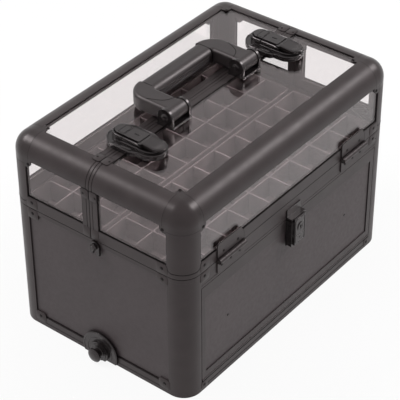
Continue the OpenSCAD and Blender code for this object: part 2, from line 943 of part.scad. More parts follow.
module handle() {
  arm_low = pivot_z - handle_end_r;
  difference() {
    union() {
      // grip along the case
      along_x(-arm_in_x - eps, arm_in_x + eps) translate([grip_y0, 0]) grip_section(grip_low, grip_edge_r);
      // rounded turns into the arms
      both_ends() translate([-arm_in_x, grip_y0, 0]) rotate([0, 0, 90])
        rotate_extrude(angle = 90) grip_section(grip_low);
      // arms with round ends
      both_ends() {
        along_y(pivot_y, grip_y0) translate([-handle_l / 2, 0])
          grip_section(arm_low);
        translate([-handle_l / 2, pivot_y, pivot_z]) rotate([0, 90, 0]) cylinder(h = grip_w, r = handle_end_r);
      }
    }
    translate([-handle_l, pivot_y, pivot_z]) rotate([0, 90, 0])
      cylinder(h = 2 * handle_l, r = handle_pin_r + pin_fit);
  }
}

module bracket() {
  x0 = -handle_l / 2 - bracket_side - cheek_t;
  x1 = -arm_in_x + bracket_side + cheek_t;
  y0 = pivot_y - bracket_r - bracket_foot_step;
  y1 = pivot_y + bracket_r + bracket_foot_step;
  difference() {
    union() {
      box([x0, y0, case_h], [x1, y1, case_h + bracket_foot_t]);
      for (x = [x0, x1 - cheek_t]) {
        translate([x, pivot_y, pivot_z]) rotate([0, 90, 0]) cylinder(h = cheek_t, r = bracket_r);
        box([x, pivot_y - bracket_r, case_h], [x + cheek_t, pivot_y + bracket_r, pivot_z]);
      }
    }
    translate([x0 - 1, pivot_y, pivot_z]) rotate([0, 90, 0]) cylinder(h = x1 - x0 + 2, r = handle_pin_r + pin_fit);
  }
}

module handle_brackets() {
  both_ends() bracket();
}

module handle_pins() {
  x0 = -handle_l / 2 - bracket_side - cheek_t;
  x1 = -arm_in_x + bracket_side + cheek_t;
  both_ends() translate([x0, pivot_y, pivot_z]) rotate([0, 90, 0]) cylinder(h = x1 - x0, r = handle_pin_r);
}

// ---------- top latches ----------

split_front = split_y - part_gap / 2;
split_back = split_y + part_gap / 2;
step_h = 9.6;
step_w = cover_w / 2 + 3;
tab_barrel_r = 2.1;
tab_pin_r = 1;
tab_ear_t = 1.9;
tab_ear_r = 2;
tab_low = case_h + step_h - 0.9;
tab_hinge_y = split_front - cover_l - 0.4 - tab_barrel_r;
tab_hinge_z = case_h + latch_top_h - tab_barrel_r;
lock_y = split_front - 10.5;
cam_z = case_h + 1.6;
cam_t = 1.6;
cam_fit = 0.4;
tab_seat_h = 7;
shoulder_l = 22;
shoulder_r = 6;

module at_latches() {
  for (x = [-latch_x, latch_x]) translate([x, 0, 0]) children();
}

// Plan of a latch half with a round end: towards -Y for the base, +Y for the keeper
module latch_plan(half, y0, y1, dir) {
  tip = dir < 0 ? y0 + half : y1 - half;
  intersection() {
    union() {
      translate([0, tip]) circle(half);
      if (dir < 0) translate([-half, tip]) square([2 * half, y1 - tip]);
      else translate([-half, y0]) square([2 * half, tip - y0]);
    }
    translate([-half, y0]) square([2 * half, y1 - y0]);
  }
}

// Space that the cam sweeps, open across the split
module cam_room() {
  reach = cam_reach + cam_fit;
  side = cam_w / 2 + cam_fit;
  along_z(cam_z - cam_fit, cam_z + cam_t + cam_fit) intersection() {
    translate([0, lock_y]) circle(reach);
    translate([-side, lock_y - side]) square(reach + side);
  }
}

// Plan of the front base: broad shoulders at the split and a narrower round nose
module base_plan() {
  latch_plan(latch_nose_w / 2, split_front - latch_front_l, split_front, -1);
  intersection() {
    rounded_rect([-latch_w / 2, split_front - shoulder_l], [latch_w / 2, split_front + shoulder_l],
                 shoulder_r);
    translate([-latch_w, split_front - 2 * shoulder_l]) square([2 * latch_w, 2 * shoulder_l]);
  }
}

module latch_bases() {
  y0 = split_front - latch_front_l;
  y1 = split_front;
  ear_x = tab_w / 2 + 0.3;
  at_latches() difference() {
    union() {
      along_z(case_h, case_h + latch_base_h) base_plan();
      along_z(case_h, case_h + tab_seat_h) latch_plan(latch_nose_w / 2 - 4, y0 + 4, y1, -1);
      // stepped housing and cover over the lock
      box([-step_w, split_front - cover_l, case_h], [step_w, y1, case_h + step_h]);
      box([-cover_w / 2, split_front - cover_l, case_h], [cover_w / 2, y1, case_h + latch_top_h]);
      // ears that carry the tab's pin
      for (x = [-ear_x - tab_ear_t, ear_x])
        box([x, tab_hinge_y - tab_ear_r, case_h],
            [x + tab_ear_t, tab_hinge_y + tab_ear_r, tab_hinge_z + tab_ear_r]);
    }
    cam_room();
    translate([0, lock_y, cam_z]) cylinder(h = latch_top_h, r = lock_r + pin_fit);
    translate([-tab_w, tab_hinge_y, tab_hinge_z]) rotate([0, 90, 0])
      cylinder(h = 2 * tab_w, r = tab_pin_r + pin_fit);
  }
}

module lock_barrel() {
  difference() {
    translate([0, lock_y, cam_z]) cylinder(h = case_h + latch_top_h - cam_z, r = lock_r);
    box([-0.7, lock_y - 3.5, case_h + latch_top_h - 2], [0.7, lock_y + 3.5, case_h + latch_top_h + 1]);
  }
  // cam plate, turned along the case while unlocked
  tip = cam_reach - cam_w / 2;
  along_z(cam_z, cam_z + cam_t) {
    translate([0, lock_y - cam_w / 2]) square([tip, cam_w]);
    translate([tip, lock_y]) circle(cam_w / 2);
  }
}

// Lifting tab with a round tip and a top face that slopes down towards it
module latch_tab() {
  y0 = split_front - latch_front_l;
  top = case_h + latch_top_h;
  difference() {
    union() {
      along_z(tab_low, top) latch_plan(tab_w / 2, y0, tab_hinge_y, -1);
      translate([-tab_w / 2, tab_hinge_y, tab_hinge_z]) rotate([0, 90, 0])
        cylinder(h = tab_w, r = tab_barrel_r);
    }
    translate([-tab_w, tab_hinge_y, top]) rotate([tab_slope, 0, 0])
      translate([0, -2 * latch_front_l, 0]) cube([2 * tab_w, 2 * latch_front_l, latch_top_h]);
  }
  pin_half = tab_w / 2 + 0.3 + tab_ear_t;
  translate([-pin_half, tab_hinge_y, tab_hinge_z]) rotate([0, 90, 0])
    cylinder(h = 2 * pin_half, r = tab_pin_r);
}

module latch_keepers() {
  y1 = split_back + latch_back_l;
  at_latches() difference() {
    union() {
      along_z(case_h, case_h + latch_base_h) latch_plan(latch_w / 2, split_back, y1, 1);
      along_z(case_h, case_h + step_h) latch_plan(step_w, split_back, y1 - 5, 1);
      along_z(case_h, case_h + latch_top_h) latch_plan(cover_w / 2, split_back, y1 - 8, 1);
    }
    cam_room();
  }
}

// ---------- studs on the end faces ----------

module strap_studs() {
  flange_r = 6.5;
  flange_l = 10;
  notch_w = 4.4;
  stem_r = 2.6;
  head_r = 4;
  head_t = 2.4;
  stud_reach = 6.4;
  stud_z = post_top - 1;
  both_ends() translate([-half_l, 0, stud_z]) {
    rotate([90, 0, -90]) linear_extrude(stem_r) difference() {
      union() {
        circle(flange_r);
        translate([-flange_r, -flange_l]) square([2 * flange_r, flange_l]);
      }
      translate([-notch_w / 2, -flange_l - 1]) square([notch_w, flange_l / 2 + 1]);
    }
    rotate([0, -90, 0]) {
      cylinder(h = stud_reach - 1, r = stem_r);
      translate([0, 0, stud_reach - head_t]) cylinder(h = head_t, r1 = head_r, r2 = head_r - 1);
    }
  }
}

module stacking_knobs() {
  plate_t = 2.4;
  boss_r = 13;
  both_ends() translate([-half_l, 0, knob_z]) rotate([0, -90, 0]) {
    intersection() {
      union() {
        cylinder(h = plate_t, r = knob_plate_r);
        cylinder(h = plate_t + 2.6, r = boss_r);
      }
      // flat foot: the disc is cut level with the base ring
      translate([-knob_z + 1.5, -knob_plate_r, 0]) cube([3 * knob_plate_r, 2 * knob_plate_r, knob_reach]);
    }
    cylinder(h = knob_reach - 2, r = 5);
    translate([0, 0, knob_reach - 3.4]) cylinder(h = 2, r = knob_r);
    translate([0, 0, knob_reach - 1.4]) cylinder(h = 1.4, r1 = knob_r, r2 = knob_r - 2);
  }
}

// ---------- nodes ----------

color(panel_black) bottom_panel();
color(panel_black) body_panel_back();  // back_panel
color(panel_black) body_panel_ends();  // end_panels
color(frame_black) front_belt();
color(frame_black) body_posts();
color(frame_black) body_top_ring();
color(frame_black) base_ring();
color(frame_black) base_rails();
color(frame_black) front_sill();
color(hardware_black) strap_studs();
color(hardware_black) stacking_knobs();
color(hardware_black) body_hinge_leaves();
color(hardware_black) hinge_pins();
color(hardware_black) door_hinge_sill_leaf();
color(hardware_black) door_latch_keeper();
color(hardware_black) tray_arm_pivots();

color(frame_black) lid_rails(-1);  // front_lid_rails
color(frame_black) lid_corners(-1);  // front_lid_corners
color(frame_black) lid_posts(-1);  // front_lid_posts
color(frame_black) lid_ring(-1);  // front_lid_ring
color(frame_black) closing_frame(-1);  // front_closing_frame
color(clear_grey) lid_top_panel(-1);  // front_lid_top_panel
color(clear_grey) lid_window(-1);  // front_lid_window
color(clear_grey) lid_end_windows(-1);  // front_lid_end_windows
color(hardware_black) lid_hinge_leaves(-1);  // front_hinge_leaves
color(hardware_black) handle_brackets();
color(hardware_black) handle_pins();
color(hardware_black) latch_bases();

color(frame_black) lid_rails(1);  // back_lid_rails
color(frame_black) lid_corners(1);  // back_lid_corners
color(frame_black) lid_posts(1);  // back_lid_posts
color(frame_black) lid_ring(1);  // back_lid_ring
color(frame_black) closing_frame(1);  // back_closing_frame
color(clear_grey) lid_top_panel(1);  // back_lid_top_panel
color(clear_grey) lid_window(1);  // back_lid_window
color(clear_grey) lid_end_windows(1);  // back_lid_end_windows
color(hardware_black) lid_hinge_leaves(1);  // back_hinge_leaves
color(hardware_black) latch_keepers();

color(hardware_black) handle();
color(hardware_black) translate([-latch_x, 0, 0]) latch_tab();  // near_latch_tab
color(hardware_black) translate([latch_x, 0, 0]) latch_tab();  // far_latch_tab
color(hardware_black) translate([-latch_x, 0, 0]) lock_barrel();  // near_lock_barrel
color(hardware_black) translate([latch_x, 0, 0]) lock_barrel();  // far_lock_barrel

color(frame_black) door_frame();
color(panel_black) door_panel();
color(hardware_black) door_hinge_leaf();
color(hardware_black) door_latch_base();
color(fabric_black) brush_band();
color(hardware_black) door_latch_lever();

color(tray_grey) tray(-1);  // front_tray
color(tray_grey) tray_dividers(-1);  // front_tray_dividers
color(hardware_black) outer_arms(-1);  // front_outer_arms
color(hardware_black) inner_arms(-1);  // front_inner_arms
color(hardware_black) lid_links(-1);  // front_lid_links
color(tray_grey) tray(1);  // back_tray
color(tray_grey) tray_dividers(1);  // back_tray_dividers
color(hardware_black) outer_arms(1);  // back_outer_arms
color(hardware_black) inner_arms(1);  // back_inner_arms
color(hardware_black) lid_links(1);  // back_lid_links
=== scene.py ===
"""Makeup train case: finishes and fine detail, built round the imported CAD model.

Row frame: X along the case, Y from front (-) to back (+), Z up. Pieces are drawn in mm and
turned into metres by piece(); each is made where it belongs on the CAD parts that carry it.
"""
import json
import math

import bmesh
import bpy
from mathutils import Matrix, Vector


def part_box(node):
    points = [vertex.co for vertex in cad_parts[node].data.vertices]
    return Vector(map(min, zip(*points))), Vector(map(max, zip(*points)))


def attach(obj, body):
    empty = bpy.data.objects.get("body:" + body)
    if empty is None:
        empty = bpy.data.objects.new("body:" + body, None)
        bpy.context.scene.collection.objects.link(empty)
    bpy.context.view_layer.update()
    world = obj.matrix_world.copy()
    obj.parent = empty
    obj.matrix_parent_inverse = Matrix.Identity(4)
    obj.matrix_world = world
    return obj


MM = 0.001

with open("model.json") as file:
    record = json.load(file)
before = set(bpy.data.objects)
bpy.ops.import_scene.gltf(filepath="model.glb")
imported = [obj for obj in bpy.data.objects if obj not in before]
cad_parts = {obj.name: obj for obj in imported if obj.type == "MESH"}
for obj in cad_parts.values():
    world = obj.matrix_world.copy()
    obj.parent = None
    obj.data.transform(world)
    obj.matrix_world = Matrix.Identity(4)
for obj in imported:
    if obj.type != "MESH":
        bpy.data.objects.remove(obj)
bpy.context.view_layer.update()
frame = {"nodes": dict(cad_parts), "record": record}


# ---------- places, from the frame ----------

def span(node):
    """Lowest and highest corner of a CAD node, in mm."""
    low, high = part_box(node)
    return low / MM, high / MM


HALF_L = span("base_ring")[1].x
HALF_W = span("base_ring")[1].y
TOP = span("front_lid_rails")[1].z
BODY_TOP = span("body_top_ring")[1].z
RING_LOW = span("front_lid_ring")[0].z
CHANNEL_TOP = span("front_lid_ring")[1].z
POST_TOP = span("body_posts")[1].z
SPLIT_FRONT = span("front_closing_frame")[1].y
SPLIT_BACK = span("back_closing_frame")[0].y
FRAME_W = 25.0
LIP = 1.5
SHARP_FROM = 32


# ---------- materials ----------

WARM = (1.0, 0.90, 0.91, 1)


class Paint:
    """A node material under construction."""

    def __init__(self, name):
        self.material = bpy.data.materials.new(name)
        self.material.use_nodes = True
        self.nodes = self.material.node_tree.nodes
        self.links = self.material.node_tree.links
        self.shader = self.nodes["Principled BSDF"]
        self.output = self.nodes["Material Output"]
        self.place = self.nodes.new("ShaderNodeTexCoord").outputs["Object"]

    def set(self, **values):
        for name, value in values.items():
            self.shader.inputs[name.replace("_", " ")].default_value = value
        return self

    def noise(self, scale, detail=3.0, stretch=(1, 1, 1)):
        mapping = self.nodes.new("ShaderNodeMapping")
        mapping.inputs["Scale"].default_value = stretch
        self.links.new(self.place, mapping.inputs["Vector"])
        noise = self.nodes.new("ShaderNodeTexNoise")
        noise.inputs["Scale"].default_value = scale
        noise.inputs["Detail"].default_value = detail
        self.links.new(mapping.outputs["Vector"], noise.inputs["Vector"])
        return noise.outputs["Fac"]

    def cells(self, scale, smooth=0.6):
        cells = self.nodes.new("ShaderNodeTexVoronoi")
        cells.feature = "SMOOTH_F1"
        cells.inputs["Scale"].default_value = scale
        cells.inputs["Smoothness"].default_value = smooth
        self.links.new(self.place, cells.inputs["Vector"])
        return cells.outputs["Distance"]

    def spread(self, fac, low, high):
        """A value from low to high as fac goes over the middle of a noise's range."""
        ramp = self.nodes.new("ShaderNodeMapRange")
        ramp.inputs["From Min"].default_value = 0.3
        ramp.inputs["From Max"].default_value = 0.7
        ramp.inputs["To Min"].default_value = low
        ramp.inputs["To Max"].default_value = high
        self.links.new(fac, ramp.inputs["Value"])
        return ramp.outputs["Result"]

    def tint(self, fac, low, high):
        """Base colour between two colours."""
        mix = self.nodes.new("ShaderNodeMix")
        mix.data_type = "RGBA"
        mix.inputs[6].default_value = (*low, 1)
        mix.inputs[7].default_value = (*high, 1)
        self.links.new(self.spread(fac, 0, 1), mix.inputs[0])
        self.links.new(mix.outputs[2], self.shader.inputs["Base Color"])
        return self

    def rough(self, fac, low, high):
        self.links.new(self.spread(fac, low, high), self.shader.inputs["Roughness"])
        return self

    def edges(self, radius_mm):
        """Softens sharp edges so that they catch a thin line of light."""
        bevel = self.nodes.new("ShaderNodeBevel")
        bevel.samples = 4
        bevel.inputs["Radius"].default_value = radius_mm * MM
        self.links.new(bevel.outputs["Normal"], self.shader.inputs["Normal"])
        return self

    def lift(self, fac, low, high):
        """Other colours on faces that look up, such as floors and rims: painted light, a paler colour on the
        faces that take the light.
        """
        geometry = self.nodes.new("ShaderNodeNewGeometry")
        split = self.nodes.new("ShaderNodeSeparateXYZ")
        self.links.new(geometry.outputs["True Normal"], split.inputs[0])
        up = self.nodes.new("ShaderNodeMath")
        up.operation = "GREATER_THAN"
        up.inputs[1].default_value = 0.7
        self.links.new(split.outputs["Z"], up.inputs[0])
        mix = self.nodes.new("ShaderNodeMix")
        mix.data_type = "RGBA"
        walls = self.shader.inputs["Base Color"].links[0].from_socket
        self.links.new(up.outputs[0], mix.inputs[0])
        self.links.new(walls, mix.inputs[6])
        self.tint(fac, low, high)
        self.links.new(self.shader.inputs["Base Color"].links[0].from_socket, mix.inputs[7])
        self.links.new(mix.outputs[2], self.shader.inputs["Base Color"])
        return self

    def bump(self, fac, height_mm, strength=0.6):
        bump = self.nodes.new("ShaderNodeBump")
        bump.inputs["Strength"].default_value = strength
        bump.inputs["Distance"].default_value = height_mm * MM
        self.links.new(fac, bump.inputs["Height"])
        old = self.shader.inputs["Normal"].links
        if old:
            self.links.new(old[0].from_socket, bump.inputs["Normal"])
        self.links.new(bump.outputs["Normal"], self.shader.inputs["Normal"])
        return self


def coated_metal(name, low, high, rough_low, rough_high, edge=0.5):
    """Satin powder-coated aluminium: fine orange peel, slow roughness drift."""
    paint = Paint(name).set(IOR=1.5, Specular_IOR_Level=0.32, Specular_Tint=WARM)
    if edge:
        paint.edges(edge)
    paint.tint(paint.noise(45, 4), low, high)
    paint.rough(paint.noise(90, 5), rough_low, rough_high)
    return paint.bump(paint.noise(1400, 2), 0.03, 0.25).material


def pebbled_sheet(name, low, high):
    """Black ABS sheet with a fine pebble grain."""
    paint = Paint(name).set(IOR=1.48, Specular_IOR_Level=0.3)
    paint.tint(paint.noise(12, 5), low, high)
    paint.rough(paint.noise(220, 4), 0.42, 0.54)
    paint.bump(paint.cells(900), 0.08, 0.4)
    return paint.bump(paint.noise(300, 3), 0.05, 0.25).material


def moulded_plastic(name, low, high, rough_low, rough_high):
    """Injection-moulded hardware plastic: near-smooth, slightly mottled gloss."""
    paint = Paint(name).set(IOR=1.52, Specular_IOR_Level=0.45, Specular_Tint=WARM).edges(0.45)
    paint.tint(paint.noise(120, 3), low, high)
    paint.rough(paint.noise(40, 3), rough_low, rough_high)
    return paint.bump(paint.noise(2600, 2), 0.006, 0.2).material


def plated_steel(name, low, high):
    """Plated steel with faint drawn lines."""
    paint = Paint(name).set(Metallic=1.0).edges(0.3)
    paint.tint(paint.noise(80, 3), low, high)
    paint.rough(paint.noise(500, 4, (1, 12, 12)), 0.24, 0.4)
    return paint.bump(paint.noise(900, 2, (1, 14, 14)), 0.02, 0.3).material


def soft_rubber(name, low, high):
    """Matt black sealing strip."""
    paint = Paint(name).set(IOR=1.45, Specular_IOR_Level=0.1)
    paint.tint(paint.noise(150, 3), low, high)
    paint.rough(paint.noise(260, 3), 0.55, 0.75)
    return paint.bump(paint.noise(900, 2), 0.02, 0.3).material


def clear_acrylic(name):
    """Clear sheet; lamps shine straight through it."""
    paint = Paint(name).set(IOR=1.49, Roughness=0.015, Transmission_Weight=1.0)
    paint.set(Base_Color=(0.931, 0.900, 0.901, 1), Specular_Tint=(1.0, 0.84, 0.85, 1))
    paint.bump(paint.noise(9, 2), 0.05, 0.05)
    path = paint.nodes.new("ShaderNodeLightPath")
    clear = paint.nodes.new("ShaderNodeBsdfTransparent")
    mix = paint.nodes.new("ShaderNodeMixShader")
    paint.links.new(path.outputs["Is Shadow Ray"], mix.inputs["Fac"])
    paint.links.new(paint.shader.outputs["BSDF"], mix.inputs[1])
    paint.links.new(clear.outputs["BSDF"], mix.inputs[2])
    paint.links.new(mix.outputs["Shader"], paint.output.inputs["Surface"])
    return paint.material


def woven_band(name):
    """Elastic band: ribs along X, fine weave."""
    paint = Paint(name).set(Roughness=0.9, Sheen_Weight=0.3)
    paint.tint(paint.noise(200, 4), (0.010, 0.010, 0.011), (0.026, 0.025, 0.026))
    wave = paint.nodes.new("ShaderNodeTexWave")
    wave.bands_direction = "Z"
    wave.inputs["Scale"].default_value = 420
    paint.links.new(paint.place, wave.inputs["Vector"])
    return paint.bump(wave.outputs["Fac"], 0.25, 0.8).material


def tray_plastic(name, low, high, upper):
    """Moulded tray plastic with a soft grain; its floors and upper edges are painted paler, painted light
    that evens out the shade in the cells.
    """
    paint = Paint(name).set(IOR=1.5, Specular_IOR_Level=0.22)
    paint.tint(paint.noise(60, 4), low, high)
    paint.lift(paint.noise(40, 4), *upper)
    paint.rough(paint.noise(260, 4), 0.50, 0.66)
    return paint.bump(paint.noise(800, 3), 0.05, 0.35).material


FRAME = ((0.024, 0.0185, 0.0188), (0.034, 0.0265, 0.027))
# Painted light: tray floors paler than the walls, so the shaded cell floors read as evenly lit.
FLOOR_WITH_PAINTED_LIGHT = ((0.192, 0.148, 0.151), (0.222, 0.172, 0.175))
WALL = ((0.100, 0.077, 0.079), (0.118, 0.091, 0.093))
CORNER = ((0.021, 0.0162, 0.0165), (0.030, 0.0232, 0.0236))
HARDWARE = ((0.007, 0.0056, 0.0058), (0.013, 0.0105, 0.0108))
GRIP = ((0.012, 0.0093, 0.0095), (0.018, 0.0140, 0.0143))
# Painted highlight: pale colour for the dividers' top edges.
RIM_HIGHLIGHT = ((0.190, 0.150, 0.153), (0.220, 0.174, 0.177))
MATERIALS = {
    "frame_black": coated_metal("frame_black", *FRAME, 0.37, 0.45),
    "ear_black": coated_metal("ear_black", *FRAME, 0.40, 0.48, edge=0),
    "corner_black": coated_metal("corner_black", *CORNER, 0.27, 0.34),
    "body_panel": pebbled_sheet("body_panel", (0.050, 0.039, 0.041), (0.060, 0.047, 0.049)),
    "hardware_black": moulded_plastic("hardware_black", *HARDWARE, 0.19, 0.26),
    "steel": plated_steel("steel", (0.12, 0.115, 0.112), (0.20, 0.19, 0.185)),
    "clear_acrylic": clear_acrylic("clear_acrylic"),
    "handle_plastic": moulded_plastic("handle_plastic", *GRIP, 0.36, 0.44),
    "tray_plastic": tray_plastic("tray_plastic", *WALL, FLOOR_WITH_PAINTED_LIGHT),
    "band_fabric": woven_band("band_fabric"),
    # Black for seals and seams, and for the painted shadow lines round plates, rivets, hinge leaves, post
    # feet and under the panels.
    "seam_and_shadow_black": soft_rubber("seam_and_shadow_black", (0.0025, 0.002, 0.002), (0.005, 0.004, 0.004)),
    "seam_soft": soft_rubber("seam_soft", (0.010, 0.008, 0.008), (0.016, 0.0128, 0.013)),
    "dark_rivet": plated_steel("dark_rivet", (0.014, 0.012, 0.012), (0.026, 0.022, 0.022)),
    "divider_highlight": tray_plastic("divider_highlight", *WALL, RIM_HIGHLIGHT),
    "tray_edge": tray_plastic("tray_edge", *WALL, WALL),
}


def dress_frame():
    """Gives every CAD node the material of its slot in the record; the tray dividers instead get one with a
    painted highlight on their top edges.
    """
    slots = {part["node"]: part["material_slot"] for part in frame["record"]["subparts"]}
    for name, thing in frame["nodes"].items():
        thing.data.materials.clear()
        # the dividers' paler top edges are a painted highlight
        finish = "divider_highlight" if name.endswith("tray_dividers") else slots[name]
        thing.data.materials.append(MATERIALS[finish])


# ---------- meshes, drawn in mm ----------

def facing(normal, place, up=(0, 0, 1)):
    """Matrix at a place whose Z axis is the normal, with Y as near to up as it can be."""
    z = Vector(normal).normalized()
    x = Vector(up).cross(z).normalized()
    turn = Matrix((x, z.cross(x), z)).transposed().to_4x4()
    return Matrix.Translation(place) @ turn


def on_end(end, y, z, out=0.0):
    """On an end face (-1 near, 1 far), with Z outwards and X along end * Y."""
    return facing((end, 0, 0), (end * (HALF_L + out), y, z))


def on_side(side, x, z, out=0.0):
    """On a long face (-1 front, 1 back), with Z outwards and X along -side * X."""
    return facing((0, side, 0), (x, side * (HALF_W + out), z))


def on_top(x, y, out=0.0):
    return facing((0, 0, 1), (x, y, TOP + out), up=(0, 1, 0))


def arc(centre, r, start, stop, steps=10):
    """Points of an arc in degrees."""
    turns = [math.radians(start + (stop - start) * i / steps) for i in range(steps + 1)]
    return [(centre[0] + r * math.cos(a), centre[1] + r * math.sin(a)) for a in turns]


def rounded(low, high, r):
    """Outline of a rectangle with round corners."""
    (x0, y0), (x1, y1) = low, high
    return (arc((x1 - r, y1 - r), r, 0, 90, 6) + arc((x0 + r, y1 - r), r, 90, 180, 6)
            + arc((x0 + r, y0 + r), r, 180, 270, 6) + arc((x1 - r, y0 + r), r, 270, 360, 6))


def skin(bm, rings):
    """Faces between closed rings of points."""
    made = [[bm.verts.new(p) for p in ring] for ring in rings]
    for low, high in zip(made, made[1:]):
        count = len(low)
        for i in range(count):
            bm.faces.new((low[i], low[(i + 1) % count], high[(i + 1) % count], high[i]))
    return made


def turned(bm, place, profile, steps=24):
    """A solid turned about Z from (radius, height) points."""
    rings = []
    for r, h in profile:
        r = max(r, 0.01)
        rings.append([place @ Vector((x, y, h)) for x, y in arc((0, 0), r, 0, 360, steps)[:-1]])
    made = skin(bm, rings)
    bm.faces.new(made[0][::-1])
    bm.faces.new(made[-1])


def inset(outline, by):
    """The outline moved inwards, for one that runs anticlockwise."""
    points = [Vector(p) for p in outline]
    moved = []
    for before, here, after in zip(points[-1:] + points[:-1], points, points[1:] + points[:1]):
        one = (here - before).normalized()
        two = (after - here).normalized()
        way = Vector((-one.y - two.y, one.x + two.x)).normalized()
        reach = by / max(0.5, way.dot(Vector((-one.y, one.x))))
        moved.append(here + way * reach)
    return moved


def slab(bm, place, outline, low, high, edge=0.3):
    """A plate between two heights, with its upper edge rounded."""
    steps = [(0, low), (0, high - edge), (0.3 * edge, high - 0.3 * edge), (edge, high)]
    rings = [[place @ Vector((*p, h)) for p in inset(outline, by)] for by, h in steps]
    made = skin(bm, rings)
    bm.faces.new(made[0][::-1])
    bm.faces.new(made[-1])


def bar(bm, path, across, up, normal=None, axis=None, closed=False, steps=8):
    """A bar of oval section along a path: on a face with this normal, or in a plane across this axis."""
    points = [Vector(p) for p in path]
    count = len(points)
    rings = []
    for i, here in enumerate(points):
        before = points[i - 1] if i or closed else here
        after = points[(i + 1) % count] if i < count - 1 or closed else here
        way = (after - before).normalized()
        out = Vector(axis) if axis else way.cross(Vector(normal)).normalized()
        top = out.cross(way).normalized()
        ring = []
        for k in range(steps):
            a = 2 * math.pi * (k + 0.5) / steps
            ring.append(here + out * (math.cos(a) * across) + top * (math.sin(a) * up))
        rings.append(ring)
    made = skin(bm, rings)
    if closed:
        for i in range(steps):
            j = (i + 1) % steps
            bm.faces.new((made[-1][i], made[-1][j], made[0][j], made[0][i]))
    else:
        bm.faces.new(made[0][::-1])
        bm.faces.new(made[-1])


def piece(name, body, slot, draw, paint=None):
    """Draws a piece in mm, gives it the paint named or else its slot's finish, and lets it ride on a body."""
    bm = bmesh.new()
    draw(bm)
    bmesh.ops.scale(bm, vec=(MM, MM, MM), verts=bm.verts)
    bmesh.ops.recalc_face_normals(bm, faces=bm.faces)
    mesh = bpy.data.meshes.new(name)
    bm.to_mesh(mesh)
    bm.free()
    mesh.shade_smooth()
    mesh.set_sharp_from_angle(angle=math.radians(SHARP_FROM))
    thing = bpy.data.objects.new(name, mesh)
    bpy.context.scene.collection.objects.link(thing)
    mesh.materials.append(MATERIALS[paint or slot])
    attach(thing, body)
    return thing


RIVET_R = 2.1
PAN_HEAD = ((1.7, -0.2), (1.6, 0.5), (1.0, 0.8), (0.0, 0.85))
FLAT_HEAD = ((1.5, -0.2), (1.4, 0.35), (0.8, 0.5), (0.0, 0.5))
RIVET_DOME = ((1.0, -0.3), (1.0, 0.15), (0.86, 0.5), (0.55, 0.72), (0.45, 0.62), (0.40, 0.35), (0.0, 0.3))


def rivet(bm, place, r=RIVET_R):
    """Blind rivet: a low dome with a hollow in the middle."""
    turned(bm, place, [(k * r, h * r / RIVET_R) for k, h in RIVET_DOME], 16)


def plate(bm, place, wide, high, thick, r=3.0, sunk=0.4):
    """A small plate with round corners, centred on its place."""
    slab(bm, place, rounded((-wide / 2, -high / 2), (wide / 2, high / 2), r), -sunk, thick)


# ---------- frame details ----------

HALVES = (("front", -1, "front_lid", SPLIT_FRONT), ("back", 1, "back_lid", SPLIT_BACK))
ENDS = (("near", -1), ("far", 1))
EDGE_R = 22.0
CAST_L = 30.0
SEAM = 0.2
PLATE_OUT = 0.35
EAR_X = 154.0
EAR_Y = 89.0


def section():
    """Frame section as (in from one face, in from the other), from one lip round to the other."""
    bend = arc((EDGE_R, EDGE_R), EDGE_R, 270, 180, 12)
    return [(FRAME_W, 0)] + bend + [(0, FRAME_W)]


def draw_casting_seams(bm, side):
    """Fine dark joints where the corner castings meet the rails and posts."""
    for _, end in ENDS:
        rail = [(end * (HALF_L - CAST_L), side * (HALF_W - w), TOP - d) for w, d in section()]
        bar(bm, rail, SEAM, 0.06, axis=(1, 0, 0))
        cross = [(end * (HALF_L - w), side * (HALF_W - CAST_L), TOP - d) for w, d in section()]
        bar(bm, cross, SEAM, 0.06, axis=(0, 1, 0))
        post = [(end * (HALF_L - w), side * (HALF_W - d), TOP - CAST_L) for w, d in section()]
        bar(bm, post, SEAM, 0.06, axis=(0, 0, 1))


def draw_lid_rivets(bm, side, split):
    ear_z = (RING_LOW + CHANNEL_TOP) / 2 + 0.9
    for _, end in ENDS:
        rivet(bm, on_side(side, end * 154.6, ear_z, PLATE_OUT), 1.5)
        rivet(bm, on_end(end, side * 89.2, ear_z, PLATE_OUT), 1.5)
        rivet(bm, on_end(end, split + side * 7.8, 218.4, 0.45), 1.4)
        rivet(bm, on_top(end * 160.0, split + side * 7.4, 0.45), 1.4)
        rivet(bm, on_top(end * 153.4, side * 88.4))
        rivet(bm, on_side(side, end * 155.6, 220.6))
        rivet(bm, on_end(end, side * 90.6, 220.6))


def draw_lid_ears(bm, side, split):
    """Corner plates of the lid's lower ring, and the closing frame's ears."""
    ear_mid = (RING_LOW + CHANNEL_TOP) / 2
    ear_h = CHANNEL_TOP - RING_LOW - 0.5
    for _, end in ENDS:
        plate(bm, on_side(side, end * EAR_X, ear_mid), 15, ear_h, 0.4)
        plate(bm, on_end(end, side * EAR_Y, ear_mid), 15, ear_h, 0.4)
        # the closing frame widens under and beside the rails
        near_split = split + side * 5.2
        plate(bm, on_end(end, near_split, 219), 10.4, 12, 0.5, 2.6, 1.4)
        plate(bm, on_top(end * 160.4, near_split), 12, 10.4, 0.5, 2.6, 1.4)
        plate(bm, on_end(end, near_split, ear_mid), 10.2, ear_h, 0.4, 2)


def outline_plate(bm, place, wide, high, out, r=3.0):
    """Fine shadow line round a small plate."""
    face = place.to_3x3() @ Vector((0, 0, 1))
    edge = [place @ Vector((x, y, out)) for x, y in rounded((-wide / 2, -high / 2), (wide / 2, high / 2), r)]
    bar(bm, edge, 0.24, 0.2, normal=tuple(face), closed=True, steps=6)


def shadow_ring(bm, place):
    """Fine dark ring round a rivet."""
    ring = [place @ Vector((x, y, 0.06)) for x, y in arc((0, 0), 1.75, 0, 360, 14)[:-1]]
    bar(bm, ring, 0.26, 0.12, normal=tuple(place.to_3x3() @ Vector((0, 0, 1))), closed=True, steps=6)


